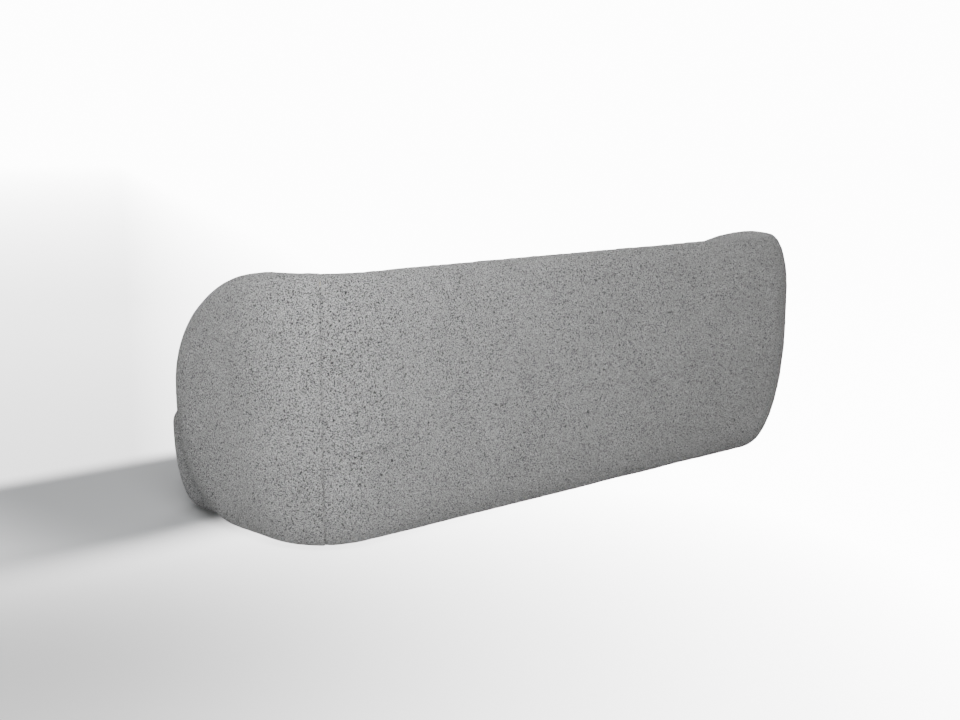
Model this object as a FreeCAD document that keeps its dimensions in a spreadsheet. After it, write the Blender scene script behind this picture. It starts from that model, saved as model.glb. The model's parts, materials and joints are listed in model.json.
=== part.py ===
"""Upholstered daybed sofa: a padded back that wraps round both ends into arms, a full-width base and one
loose bench cushion.

Frame: +Z up, +X along the length, the front faces -Y.  Origin: the middle of the footprint, on the floor.
Left and right are as seen from the front.  All lengths are in millimetres.

The shell (back and arms) is a U in plan.  Depths are measured inwards from its outer face.  Its vertical
section is the same along the back and round the corners: drawn in at the foot, widest at the belt, rounded
at the crest.  Each arm ends in a nose, where the crest falls and the foot rises along quarter ellipses.
"""
import FreeCAD
import Part
import math
import os
import re

import Sketcher
from FreeCAD import Rotation, Vector

# Driving dimensions: alias, value in mm (or a plain count), what it is.
SIZES = [
    ("overall_length", 2165, "over both arms at the belt"),
    ("overall_depth", 860, "front of the base to the back at the belt"),
    ("overall_height", 730, "floor to crest"),
    ("floor_gap", 15, "floor to the underside of the frame"),
    ("inner_corner", 38, "plan radius of the inner rear corners at seat level"),
    ("top_thickness", 205, "shell thickness below the crest"),
    ("low_thickness", 245, "shell thickness at seat level"),
    ("sole", 17, "width of the shell frame's lower edge"),
    ("skin_step", 1, "lower edge of each inner shell layer above the one outside it"),
    ("tuck_rise", 445, "height over which the shell's foot is drawn in"),
    ("crest_out_run", 60, "outer crest rounding, horizontal"),
    ("crest_out_drop", 195, "outer crest rounding, vertical"),
    ("crest_flat", 20, "level part of the crest"),
    ("crest_in_drop", 110, "inner crest rounding, vertical"),
    ("crest_seam", 105, "depth of the seam between outer and inner covers"),
    ("nose_height", 310, "height of the foremost point of an arm"),
    ("nose_setback", 188, "arm nose behind the base front"),
    ("nose_round", 165, "plan rounding of an arm nose, along the arm"),
    ("arm_top_run", 458, "length over which the arm crest falls"),
    ("arm_foot_run", 213, "length over which the arm foot rises"),
    ("base_height", 300, "floor to the seat deck"),
    ("base_inset", 80, "base end inside the outer face of the arm"),
    ("base_tuck", 64, "how far the foot of the base is drawn in"),
    ("base_band", 5, "upright band between that tuck and the upper edge"),
    ("base_corner", 180, "plan radius of the base front corners"),
    ("base_edge", 45, "rounding of the base upper edge"),
    ("base_gap", 5, "clearance between the base and the shell"),
    ("cover", 3, "bouclé fabric"),
    ("outer_foam", 12, "foam outside the shell frame"),
    ("inner_foam", 45, "foam inside the back and arms, at its thinnest"),
    ("deck_foam", 50, "foam on the seat springs"),
    ("border_foam", 25, "foam and cover in front of the base frame, at the foot"),
    ("board", 5, "bending board between frame and outer foam"),
    ("ply", 18, "plywood of panels, formers and plates"),
    ("rail", 25, "thickness of the solid wood rails"),
    ("shell_rail", 110, "height of the shell's back rails"),
    ("cross_rail", 135, "height of the base cross rails"),
    ("cross_spread", 560, "distance between the cross rails"),
    ("former_count", 4, "formers along the back"),
    ("block_height", 90, "height of the joining blocks"),
    ("block_width", 110, "width of the joining blocks"),
    ("block_margin", 10, "side blocks clear of the ends of the arm panel's straight foot"),
    ("block_depth", 70, "depth of the blocks behind the front rail"),
    ("back_block_spread", 1400, "distance between the outer blocks at the back"),
    ("spring_wire", 4, "sinuous spring wire, diameter"),
    ("spring_width", 50, "width of a sinuous spring"),
    ("spring_pitch", 42, "distance from one spring run to the next"),
    ("spring_count", 11, "springs under the seat"),
    ("clip", 8, "height of a spring clip on its rail"),
    ("clip_width", 7, "spring clip, across the spring"),
    ("clip_length", 16, "spring clip, along the spring"),
    ("tie_wire", 3, "wire that ties the springs together, diameter"),
    ("felt", 3, "felt on the springs"),
    ("web_width", 60, "elastic webbing"),
    ("web_thickness", 2, "elastic webbing"),
    ("web_count", 12, "webs in the back"),
    ("dust_cloth", 1.5, "cloth that closes the underside"),
    ("dust_margin", 30, "edge of that cloth inside the foot of the covers"),
    ("dust_corner", 60, "corner radius of that cloth"),
    ("foot_radius", 28, "glide foot at the frame"),
    ("foot_taper", 3, "glide foot, less radius at the floor"),
    ("screw_radius", 2, "foot screw"),
    ("screw_head", 4.5, "foot screw head radius"),
    ("screw_head_height", 3, "foot screw head"),
    ("screw_recess", 5, "depth of the recess for the foot screw"),
    ("screw_bite", 30, "length of the foot screw in the wood"),
    ("bolt_radius", 4, "frame bolt"),
    ("bolt_head", 7, "frame bolt head radius"),
    ("bolt_head_height", 6, "frame bolt head"),
    ("bolt_spacing", 40, "distance between the two bolts of a joint"),
    ("bolt_level", 45, "middle of a bolted joint above the frame's underside"),
    ("washer", 2, "washer thickness"),
    ("washer_radius", 11, "washer radius"),
    ("nut_radius", 6, "tee nut barrel radius"),
    ("nut_barrel", 12, "tee nut barrel length"),
    ("nut_flange", 1.5, "tee nut flange thickness"),
    ("cushion_thickness", 140, "loose bench cushion"),
    ("cushion_gap", 8, "clearance round the cushion"),
    ("cushion_rest", 0.5, "clearance under the cushion"),
    ("cushion_corner", 60, "plan radius of the cushion corners"),
    ("cushion_edge", 35, "rounding of the cushion's upper and lower edges"),
    ("cushion_seam", 20, "seam of the top and bottom panels from the faces"),
    ("wadding", 12, "fibre wrap round the cushion core"),
    ("zip_length", 1100, "zip in the cushion's rear border"),
    ("zip_width", 6, "width of the closed zip"),
    ("slider_length", 14, "zip slider body"),
    ("slider_height", 9, "zip slider body"),
    ("slider_thickness", 3, "zip slider body"),
    ("slider_gap", 0.4, "clearance between slider and zip"),
    ("pull_length", 18, "zip pull tab"),
    ("pull_width", 6, "zip pull tab"),
    ("pull_thickness", 1.5, "zip pull tab"),
]

doc = FreeCAD.newDocument("DaybedSofa")
sheet = doc.addObject("Spreadsheet::Sheet", "Sizes")
for row, (alias, value, note) in enumerate(SIZES, start=1):
    sheet.set(f"A{row}", alias.replace("_", " "))
    sheet.set(f"B{row}", str(value))
    sheet.setAlias(f"B{row}", alias)
    sheet.set(f"C{row}", note)
doc.recompute()


class Values:
    """The sheet's cells as plain numbers, for shapes that only Part's own functions can make."""

    def __init__(self):
        for alias, _, _ in SIZES:
            setattr(self, alias, float(sheet.get(alias)))


size = Values()
nodes = []  # every sub-part that is exported

# Formulas that several pieces share, in terms of the sheet's aliases
HALF_LENGTH = "(overall_length / 2)"
HALF_DEPTH = "(overall_depth / 2)"
FRAME_IN = "(top_thickness - cover - inner_foam)"  # depth of the shell frame's inner face
FRAME_OUT = "(cover + outer_foam + board)"  # depth of its outer face
CORNER = "(inner_corner + low_thickness)"  # outer plan radius of the rear corners
CORNER_X = f"({HALF_LENGTH} - {CORNER})"
CORNER_Y = f"({HALF_DEPTH} - {CORNER})"
NOSE_Y = f"(nose_setback - {HALF_DEPTH})"
SEAT_SIDE = f"({HALF_LENGTH} - low_thickness - base_gap)"  # where the base meets an arm
SEAT_BACK = f"({HALF_DEPTH} - low_thickness - base_gap)"
BASE_END = f"({HALF_LENGTH} - base_inset)"
RAIL_FRONT = f"(base_tuck + border_foam - {HALF_DEPTH})"
FELT_UNDER = "(base_height - cover - deck_foam - felt)"
RAIL_TOP = f"({FELT_UNDER} - clip)"
BLOCK_REACH = f"(low_thickness + base_gap - {FRAME_IN})"  # from the base frame to the shell frame
BOLT_LENGTH = f"(washer + rail + {BLOCK_REACH} + rail + nut_flange)"
SEAT_Z = "(base_height + cushion_rest)"

# The two halves, as seen from the front
SIDES = (("left", -1), ("right", 1))


# ---------------------------------------------------------------------------------------------------------
# Document objects bound to the sheet
# ---------------------------------------------------------------------------------------------------------
def bind(thing, prop, formula):
    """Binds a property to the sheet.  A formula names the cells by their aliases."""

    def cell(match):
        word = match.group(0)
        return f"Sizes.{word}" if hasattr(size, word) else word

    thing.setExpression(prop, re.sub(r"[a-z]+(?:_[a-z]+)*", cell, str(formula)))


def place(thing, x, y, z):
    for axis, formula in zip("xyz", (x, y, z)):
        bind(thing, f"Placement.Base.{axis}", formula)


def node(thing, label):
    """Marks an object as a sub-part with its own node name."""
    thing.Label = label
    nodes.append(thing)
    return thing


def box(name, length, width, height, x, y, z):
    made = doc.addObject("Part::Box", name)
    bind(made, "Length", length)
    bind(made, "Width", width)
    bind(made, "Height", height)
    place(made, x, y, z)
    return made


def outwards(side, near, length):
    """The x of a box that starts near from the middle and runs outwards on either side."""
    return near if side > 0 else f"-({near}) - ({length})"


def centred_box(name, length, width, height, y, z):
    return box(name, length, width, height, f"-({length}) / 2", y, z)


def rod(name, radius, length, x, y, z, axis=(0, 0, 1)):
    """A cylinder that starts at x, y, z and runs along axis."""
    made = doc.addObject("Part::Cylinder", name)
    bind(made, "Radius", radius)
    bind(made, "Height", length)
    made.Placement.Rotation = Rotation(Vector(0, 0, 1), Vector(*axis))
    place(made, x, y, z)
    return made


def feature(name, shape):
    """A shape that only Part's own functions can make, at the document's origin."""
    made = doc.addObject("Part::Feature", name)
    made.Shape = shape
    return made


def common(name, base, tool):
    made = doc.addObject("Part::Common", name)
    made.Base = base
    made.Tool = tool
    return made


def cut(name, base, *tools):
    for count, tool in enumerate(tools):
        made = doc.addObject("Part::Cut", name if count == len(tools) - 1 else f"{name}_step")
        made.Base = base
        made.Tool = tool
        base = made
    return base


def fuse(name, things):
    made = doc.addObject("Part::MultiFuse", name)
    made.Shapes = things
    return made


def group(name, things):
    """Several separate solids that share one node, or one tool."""
    made = doc.addObject("Part::Compound", name)
    made.Links = things
    return made


def padded_body(name, length, depth, height, y, z, corner):
    """A PartDesign block: a centred rectangle with round plan corners, padded upwards.  y is its front."""
    body = doc.addObject("PartDesign::Body", name)
    plane = [p for p in body.Origin.OriginFeatures if p.Role == "XY_Plane"][0]
    sketch = body.newObject("Sketcher::SketchObject", f"{name}_plan")
    sketch.AttachmentSupport = [(plane, "")]
    sketch.MapMode = "FlatFace"
    corners = [Vector(-1, 0, 0), Vector(1, 0, 0), Vector(1, 1, 0), Vector(-1, 1, 0)]
    for i in range(4):
        sketch.addGeometry(Part.LineSegment(corners[i] * 100, corners[(i + 1) % 4] * 100), False)
    for i in range(4):
        sketch.addConstraint(Sketcher.Constraint("Coincident", i, 2, (i + 1) % 4, 1))
    for i, kind in enumerate(("Horizontal", "Vertical", "Horizontal", "Vertical")):
        sketch.addConstraint(Sketcher.Constraint(kind, i))
    sketch.addConstraint(Sketcher.Constraint("Symmetric", 0, 1, 0, 2, -1, 1))
    wide = sketch.addConstraint(Sketcher.Constraint("DistanceX", 0, 1, 0, 2, 200.0))
    deep = sketch.addConstraint(Sketcher.Constraint("DistanceY", 1, 1, 1, 2, 100.0))
    bind(sketch, f"Constraints[{wide}]", length)
    bind(sketch, f"Constraints[{deep}]", depth)
    pad = body.newObject("PartDesign::Pad", f"{name}_pad")
    pad.Profile = sketch
    bind(pad, "Length", height)
    doc.recompute()
    upright = [f"Edge{i}" for i, edge in enumerate(pad.Shape.Edges, start=1)
               if abs(edge.tangentAt(edge.FirstParameter).z) > 0.99]
    rounding = body.newObject("PartDesign::Fillet", f"{name}_corners")
    rounding.Base = (pad, upright)
    bind(rounding, "Radius", corner)
    place(body, 0, y, z)
    return body


def round_edges(body, radius):
    """Rounds the upper and lower edges of a padded body."""
    doc.recompute()
    last = body.Tip
    level = [f"Edge{i}" for i, edge in enumerate(last.Shape.Edges, start=1)
             if abs(edge.tangentAt(edge.FirstParameter).z) < 0.01]
    rounding = body.newObject("PartDesign::Fillet", f"{body.Name}_edges")
    rounding.Base = (last, level)
    bind(rounding, "Radius", radius)
    return body


# ---------------------------------------------------------------------------------------------------------
# Envelopes of the shell and the base
# ---------------------------------------------------------------------------------------------------------
half_length = size.overall_length / 2
back_y = size.overall_depth / 2
nose_y = size.nose_setback - back_y
corner_radius = size.inner_corner + size.low_thickness
corner_centre = Vector(half_length - corner_radius, back_y - corner_radius, 0)
belt = size.floor_gap + size.tuck_rise
frame_in = size.top_thickness - size.cover - size.inner_foam
frame_out = size.cover + size.outer_foam + size.board
tuck_in = frame_in - frame_out - size.sole
seat_side = half_length - size.low_thickness - size.base_gap
seat_back = back_y - size.low_thickness - size.base_gap


class Layer:
    """An envelope inside the outermost one, given by the depth of what lies outside and inside it."""

    def __init__(self, out, inner, rise, flat_inner=False):
        self.out = out
        self.top = size.overall_height - out
        self.low = size.floor_gap + rise
        self.front = out
        self.thick_top = size.top_thickness - inner
        self.thick_low = self.thick_top if flat_inner else size.low_thickness - inner
        self.crest_in = size.crest_out_run + size.crest_flat


outside = Layer(0, 0, 0)
under_cover = Layer(size.cover, size.cover, size.cover)
foam_foot = size.cover + size.skin_step
under_foam = Layer(size.cover + size.outer_foam, size.cover + size.inner_foam, foam_foot, True)
frame_room = Layer(frame_out, size.cover + size.inner_foam, foam_foot + size.skin_step, True)
base_clearance = Layer(-size.base_gap, -size.base_gap, -size.base_gap)


def quarter(start, corner, end):
    """A quarter ellipse from start to end, tangent to the two lines that meet at corner."""
    curve = Part.BezierCurve()
    curve.setPoles([start, corner, end])
    curve.setWeight(2, math.sqrt(0.5))
    return curve.toShape()


def section(to_space, layer, top=None, bottom=None, width=1.0):
    """The closed vertical section of one layer.  to_space turns (depth, height) into a point.

    At an arm's nose, top and bottom squeeze it between two heights and width narrows it about its middle.
    """
    top = layer.top if top is None else top
    low = layer.low
    bottom = low if bottom is None else bottom
    squeeze = (top - bottom) / (layer.top - low)
    middle = size.top_thickness / 2
    toe = tuck_in + layer.out

    def at(depth, height):
        return to_space(middle + (depth - middle) * width, bottom + (height - low) * squeeze)

    shoulder_out = size.overall_height - size.crest_out_drop
    shoulder_in = size.overall_height - size.crest_in_drop
    edges = [
        Part.makeLine(at(layer.thick_low, low), at(toe, low)),
        quarter(at(toe, low), at(layer.out, low), at(layer.out, belt)),
        Part.makeLine(at(layer.out, belt), at(layer.out, shoulder_out)),
        quarter(at(layer.out, shoulder_out), at(layer.out, layer.top), at(size.crest_out_run, layer.top)),
        Part.makeLine(at(size.crest_out_run, layer.top), at(layer.crest_in, layer.top)),
        quarter(at(layer.crest_in, layer.top), at(layer.thick_top, layer.top),
                at(layer.thick_top, shoulder_in)),
        Part.makeLine(at(layer.thick_top, shoulder_in), at(layer.thick_low, size.base_height)),
        Part.makeLine(at(layer.thick_low, size.base_height), at(layer.thick_low, low)),
    ]
    return Part.Wire(edges)


def mirrored(shape):
    return shape.mirror(Vector(0, 0, 0), Vector(1, 0, 0))


def back_solid(layer):
    """A layer's back, from the middle of one rear corner to the middle of the other."""
    face = Part.Face(section(lambda depth, height: Vector(corner_centre.x, back_y - depth, height), layer))
    straight = face.extrude(Vector(-2 * corner_centre.x, 0, 0))
    right = face.revolve(corner_centre, Vector(0, 0, 1), -45)
    return straight.fuse([right, mirrored(right)]).removeSplitter()


def arm_solid(layer):
    """A layer's right arm, from the middle of the rear corner to the nose."""

    def reach(y, run):
        """From 0 at the nose to 1 where the run ends, along a quarter ellipse."""
        share = min(max((nose_y + run - y) / (run - layer.front), 0.0), 1.0)
        return math.sqrt(1 - share * share)

    def station(outer, turn):
        inwards = Vector(-math.sin(turn), -math.cos(turn), 0)
        top = size.nose_height + (layer.top - size.nose_height) * reach(outer.y, size.arm_top_run)
        bottom = size.nose_height - (size.nose_height - layer.low) * reach(outer.y, size.arm_foot_run)
        width = reach(outer.y, size.nose_round)
        return section(lambda depth, height: outer + inwards * depth + Vector(0, 0, height),
                       layer, top, bottom, width)

    wires = []
    for degrees in (45, 56, 67, 78, 90):
        turn = math.radians(degrees)
        wires.append(station(corner_centre + Vector(math.sin(turn), math.cos(turn), 0) * corner_radius, turn))
    tip = nose_y + layer.front
    nose_end = nose_y + size.nose_round
    for share in (0.25, 0.5, 0.75, 1.0):
        y = corner_centre.y + (nose_end - corner_centre.y) * share
        wires.append(station(Vector(half_length, y, 0), math.pi / 2))
    for degrees in (72, 56, 42, 30, 20, 12):
        y = tip + (nose_end - tip) * (1 - math.cos(math.radians(degrees)))
        wires.append(station(Vector(half_length, y, 0), math.pi / 2))
    return Part.makeLoft(wires, True, False)


def within(depth, low, high):
    """Everything that lies deeper than depth behind the shell's outer face, between two heights."""
    edge = half_length - depth
    back = back_y - depth
    radius = corner_radius - depth
    centre = Vector(edge - radius, back - radius, low)
    front = -back_y - size.overall_depth
    bend = math.sqrt(0.5) * radius
    arc = Part.Arc(centre + Vector(radius, 0, 0), centre + Vector(bend, bend, 0),
                   centre + Vector(0, radius, 0))
    right = [Part.makeLine(Vector(0, front, low), Vector(edge, front, low)),
             Part.makeLine(Vector(edge, front, low), Vector(edge, back - radius, low)),
             arc.toShape(),
             Part.makeLine(Vector(edge - radius, back, low), Vector(0, back, low))]
    left = [mirrored(edge_shape) for edge_shape in right]
    outline = Part.Wire(Part.__sortEdges__(right + left))
    return Part.Face(outline).extrude(Vector(0, 0, high - low))


def base_solid(inset):
    """The padded base before the arms are taken out of it, set in by inset from its outer face."""
    end = half_length - size.base_inset - inset
    front = -back_y + inset
    radius = size.base_corner - inset
    top = size.base_height - inset
    low = size.floor_gap
    band_top = top - size.base_edge
    band_low = band_top - size.base_band

    def at(depth, height):
        return Vector(end - radius, front + depth, height)

    edges = [
        Part.makeLine(at(radius, low), at(size.base_tuck, low)),
        quarter(at(size.base_tuck, low), at(0, low), at(0, band_low)),
        Part.makeLine(at(0, band_low), at(0, band_top)),
        quarter(at(0, band_top), at(0, top), at(size.base_edge, top)),
        Part.makeLine(at(size.base_edge, top), at(radius, top)),
        Part.makeLine(at(radius, top), at(radius, low)),
    ]
    face = Part.Face(Part.Wire(edges))
    straight = face.extrude(Vector(-2 * (end - radius), 0, 0))
    centre = Vector(end - radius, front + radius, 0)
    corner = face.revolve(centre, Vector(0, 0, 1), 90)
    side_face = face.copy()
    side_face.rotate(centre, Vector(0, 0, 1), 90)
    side = side_face.extrude(Vector(0, seat_back - front - radius, 0))
    middle = Part.makeBox(2 * (end - radius), seat_back - front - radius, top - low,
                          Vector(radius - end, front + radius, low))
    return straight.fuse([corner, mirrored(corner), side, mirrored(side), middle]).removeSplitter()


def whole(layer):
    """A layer's three solids by the name of the stretch that they fill."""
    arm = arm_solid(layer)
    return {"back": back_solid(layer), "left": mirrored(arm), "right": arm}


envelope = whole(outside)
padding = whole(under_cover)
stuffed = whole(under_foam)
hollow = whole(frame_room)
arm_recess = arm_solid(base_clearance)
arm_recess = arm_recess.fuse(mirrored(arm_recess))
everywhere = size.overall_height * 2
inner_side = within(size.crest_seam, -everywhere, everywhere)
frame_inside = within(frame_in, -everywhere, everywhere)
web_inside = within(frame_in + size.web_thickness, -everywhere, everywhere)
seat_room = feature("seat_room", within(size.low_thickness + size.base_gap, 0, size.base_height))
frame_hollow = {part: feature(f"frame_hollow_{part}", hollow[part]) for part in hollow}

# ---------------------------------------------------------------------------------------------------------
# Bolted joints between base and shell, and the feet's screws: the bores are cut from every board they cross
# ---------------------------------------------------------------------------------------------------------
bolts = []
washers = []
tee_nuts = []
bolt_bores = []
nut_bores = []


def along(start, axis, shift):
    """The formulas of a point shift further along axis."""
    return [f"{part} + ({step}) * ({shift})" if step else part for part, step in zip(start, axis)]


def bolted_joint(tag, start, axis, board):
    """A bolt from the base frame's inner face through base rail, block and board into a tee nut."""
    seat = along(start, axis, "-washer")
    head = rod(f"bolt_head_{tag}", "bolt_head", "bolt_head_height",
               *along(seat, axis, "-bolt_head_height"), axis)
    shank = rod(f"bolt_shank_{tag}", "bolt_radius", BOLT_LENGTH, *seat, axis)
    bolts.append(fuse(f"bolt_{tag}", [head, shank]))
    bore = rod(f"bolt_bore_{tag}", "bolt_radius", BOLT_LENGTH, *seat, axis)
    bolt_bores.append(bore)
    disc = rod(f"washer_disc_{tag}", "washer_radius", "washer", *seat, axis)
    washers.append(cut(f"washer_{tag}", disc, bore))
    face = along(start, axis, f"rail + {BLOCK_REACH} + {board}")
    barrel_start = along(face, axis, "-nut_barrel")
    flange = rod(f"nut_flange_{tag}", "washer_radius", "nut_flange", *face, axis)
    barrel = rod(f"nut_barrel_{tag}", "nut_radius", "nut_barrel", *barrel_start, axis)
    tee_nuts.append(cut(f"tee_nut_{tag}", fuse(f"nut_body_{tag}", [flange, barrel]), bore))
    nut_bores.append(rod(f"nut_bore_{tag}", "nut_radius", "nut_barrel", *barrel_start, axis))


SIDE_BLOCK_Y = f"({NOSE_Y} + arm_foot_run + block_margin)"
SIDE_BLOCK_LENGTH = f"({CORNER_Y} - block_margin - {SIDE_BLOCK_Y})"
BOLT_Z = "(floor_gap + bolt_level)"
for side_name, side in SIDES:
    for level, step in (("low", -1), ("high", 1)):
        start = (f"{side} * ({SEAT_SIDE} - rail)", f"{SIDE_BLOCK_Y} + {SIDE_BLOCK_LENGTH} / 2",
                 f"{BOLT_Z} + ({step}) * bolt_spacing / 2")
        bolted_joint(f"{side_name}_{level}", start, (side, 0, 0), "ply")
BLOCK_PLACES = (("left", -1), ("middle", 0), ("right", 1))
for block_name, step in BLOCK_PLACES:
    for hand, offset in SIDES:
        start = (f"({step}) * back_block_spread / 2 + ({offset}) * bolt_spacing / 2",
                 f"{SEAT_BACK} - rail", BOLT_Z)
        bolted_joint(f"{block_name}_{hand}", start, (0, 1, 0), "rail")
bolt_bore_group = group("bolt_bore_group", bolt_bores)
nut_bore_group = group("nut_bore_group", nut_bores)

FRONT_BLOCK_SPREAD = f"(2 * ({SEAT_SIDE} - rail) - block_width)"
FRONT_FOOT_Y = f"({RAIL_FRONT} + rail + block_depth / 2)"
BACK_FOOT_Y = f"({SEAT_BACK} + {BLOCK_REACH} / 2)"
foot_screws = []
screw_bores = []
FOOT_ROWS = (("front", FRONT_BLOCK_SPREAD, FRONT_FOOT_Y), ("back", "back_block_spread", BACK_FOOT_Y))
for row, spread, foot_y in FOOT_ROWS:
    for block_name, step in BLOCK_PLACES:
        tag = f"{row}_{block_name}"
        foot_x = f"({step}) * {spread} / 2"
        sole_z = "(floor_gap - dust_cloth)"
        glide = doc.addObject("Part::Cone", f"glide_{tag}")
        bind(glide, "Radius1", "foot_radius - foot_taper")
        bind(glide, "Radius2", "foot_radius")
        bind(glide, "Height", sole_z)
        place(glide, foot_x, foot_y, 0)
        recess = rod(f"recess_{tag}", "screw_head", "screw_recess", foot_x, foot_y, 0)
        head = rod(f"screw_head_{tag}", "screw_head", "screw_head_height", foot_x, foot_y,
                   "screw_recess - screw_head_height")
        length = "floor_gap + screw_bite - screw_recess"
        shank = rod(f"screw_shank_{tag}", "screw_radius", length, foot_x, foot_y, "screw_recess")
        bore = rod(f"screw_bore_{tag}", "screw_radius", length, foot_x, foot_y, "screw_recess")
        foot_screws.append(fuse(f"screw_{tag}", [head, shank]))
        screw_bores.append(bore)
        node(cut(f"foot_{tag}", glide, recess, bore), f"foot_{tag}")
screw_bore_group = group("screw_bore_group", screw_bores)
node(group("screws", foot_screws), "foot_screws")
node(group("bolts", bolts), "frame_bolts")
node(group("washer_group", washers), "bolt_washers")
node(group("nuts", tee_nuts), "tee_nuts")

# ---------------------------------------------------------------------------------------------------------
# Base frame
# ---------------------------------------------------------------------------------------------------------
RAIL_HEIGHT = f"({RAIL_TOP} - floor_gap)"
FRONT_RAIL = f"(2 * ({BASE_END} - base_corner + border_foam))"
node(centred_box("front_rail", FRONT_RAIL, "rail", RAIL_HEIGHT, RAIL_FRONT, "floor_gap"), "base_front_rail")
back_rail = centred_box("back_rail_blank", f"2 * ({SEAT_SIDE} - rail)", "rail", RAIL_HEIGHT,
                        f"{SEAT_BACK} - rail", "floor_gap")
node(cut("back_rail", common("back_rail_trimmed", back_rail, seat_room), bolt_bore_group), "base_back_rail")
for side_name, side in SIDES:
    near = f"({SEAT_SIDE} - rail)"
    blank = box(f"side_rail_blank_{side_name}", "rail", f"{SEAT_BACK} - {RAIL_FRONT} - rail", RAIL_HEIGHT,
                outwards(side, near, "rail"), f"{RAIL_FRONT} + rail", "floor_gap")
    trimmed = common(f"side_rail_trimmed_{side_name}", blank, seat_room)
    node(cut(f"side_rail_{side_name}", trimmed, bolt_bore_group), f"base_side_rail_{side_name}")

cross_rails = []
for side_name, side in SIDES:
    cross_rails.append(box(f"cross_rail_{side_name}", "rail", f"{SEAT_BACK} - {RAIL_FRONT} - 2 * rail",
                           "cross_rail", outwards(side, "cross_spread / 2", "rail"), f"{RAIL_FRONT} + rail",
                           "floor_gap"))
node(group("cross_rails", cross_rails), "base_cross_rails")


def block_row(name, spread, depth, y):
    """Three blocks side by side, not bored yet."""
    return [box(f"{name}_{place_name}", "block_width", depth, "block_height",
                f"({step}) * {spread} / 2 - block_width / 2", y, "floor_gap")
            for place_name, step in BLOCK_PLACES]


front_blanks = block_row("front_block", FRONT_BLOCK_SPREAD, "block_depth", f"{RAIL_FRONT} + rail")
back_blanks = block_row("back_block", "back_block_spread", BLOCK_REACH, SEAT_BACK)
side_blanks = [box(f"side_block_{side_name}", BLOCK_REACH, SIDE_BLOCK_LENGTH, "block_height",
                   outwards(side, SEAT_SIDE, BLOCK_REACH), SIDE_BLOCK_Y, "floor_gap")
               for side_name, side in SIDES]
bored_front = cut("bored_front_blocks", group("front_blanks", front_blanks), screw_bore_group)
node(bored_front, "front_foot_blocks")
bored_back = cut("bored_back_blocks", group("back_blanks", back_blanks), bolt_bore_group, screw_bore_group)
node(bored_back, "back_joining_blocks")
node(cut("bored_side_blocks", group("side_blanks", side_blanks), bolt_bore_group), "side_joining_blocks")

EAR_LOW = "(floor_gap + base_tuck)"
ear_blocks = []
for side_name, side in SIDES:
    reach = f"({BASE_END} - base_tuck - border_foam - {SEAT_SIDE})"
    ear_blocks.append(box(f"ear_block_{side_name}", reach, f"{NOSE_Y} - border_foam - {RAIL_FRONT} - rail",
                          f"{RAIL_TOP} - {EAR_LOW} - ply", outwards(side, SEAT_SIDE, reach),
                          f"{RAIL_FRONT} + rail", EAR_LOW))
node(group("ears", ear_blocks), "base_ear_blocks")

# ---------------------------------------------------------------------------------------------------------
# Seat suspension: sinuous springs from the front rail to the back rail
# ---------------------------------------------------------------------------------------------------------
rail_front = size.base_tuck + size.border_foam - back_y
felt_under = size.base_height - size.cover - size.deck_foam - size.felt
spring_z = felt_under - size.clip / 2
first_run = rail_front + size.rail / 2
last_run = seat_back - size.rail / 2
run_count = round((last_run - first_run) / size.spring_pitch)
pitch = (last_run - first_run) / run_count
spring_step = 2 * (seat_side - size.rail - size.spring_width) / (size.spring_count - 1)


def sinuous_spring(x):
    """Cross runs joined by half circles, swept by the wire's section."""
    straight = (size.spring_width - pitch) / 2
    edges = []
    for run in range(run_count + 1):
        y = first_run + run * pitch
        hand = 1 if run % 2 else -1
        edges.append(Part.makeLine(Vector(x - hand * straight, y, spring_z),
                                   Vector(x + hand * straight, y, spring_z)))
        if run < run_count:
            edges.append(Part.Arc(Vector(x + hand * straight, y, spring_z),
                                  Vector(x + hand * (straight + pitch / 2), y + pitch / 2, spring_z),
                                  Vector(x + hand * straight, y + pitch, spring_z)).toShape())
    path = Part.Wire(edges)
    circle = Part.makeCircle(size.spring_wire / 2, Vector(x + straight, first_run, spring_z), Vector(1, 0, 0))
    return path.makePipe(Part.Face(Part.Wire([circle])))


spring_xs = [(i - (size.spring_count - 1) / 2) * spring_step for i in range(int(size.spring_count))]
springs = feature("springs", Part.makeCompound([sinuous_spring(x) for x in spring_xs]))
node(springs, "seat_springs")
SPRING_STEP = f"(2 * ({SEAT_SIDE} - rail - spring_width) / (spring_count - 1))"
clips = []
for i in range(int(size.spring_count)):
    for end, y in (("front", f"{RAIL_FRONT} + rail / 2"), ("back", f"{SEAT_BACK} - rail / 2")):
        clip_x = f"({i} - (spring_count - 1) / 2) * {SPRING_STEP} - clip_width / 2"
        blank = box(f"clip_{end}_{i}", "clip_width", "clip_length", "clip", clip_x, f"{y} - clip_length / 2",
                    RAIL_TOP)
        bore = rod(f"clip_bore_{end}_{i}", "spring_wire / 2", "clip_width", clip_x, y,
                   f"{RAIL_TOP} + clip / 2", (1, 0, 0))
        clips.append(cut(f"bored_clip_{end}_{i}", blank, bore))
node(group("clips", clips), "spring_clips")
ties = []
for i, share in enumerate(("1 / 3", "2 / 3")):
    y = f"{RAIL_FRONT} + ({SEAT_BACK} - {RAIL_FRONT}) * {share}"
    ties.append(rod(f"tie_{i}", "tie_wire / 2", f"2 * ({SEAT_SIDE} - rail)", f"rail - {SEAT_SIDE}", y,
                    f"{RAIL_TOP} + clip / 2 - spring_wire / 2 - tie_wire / 2", (1, 0, 0)))
node(group("ties", ties), "spring_tie_wires")

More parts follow.
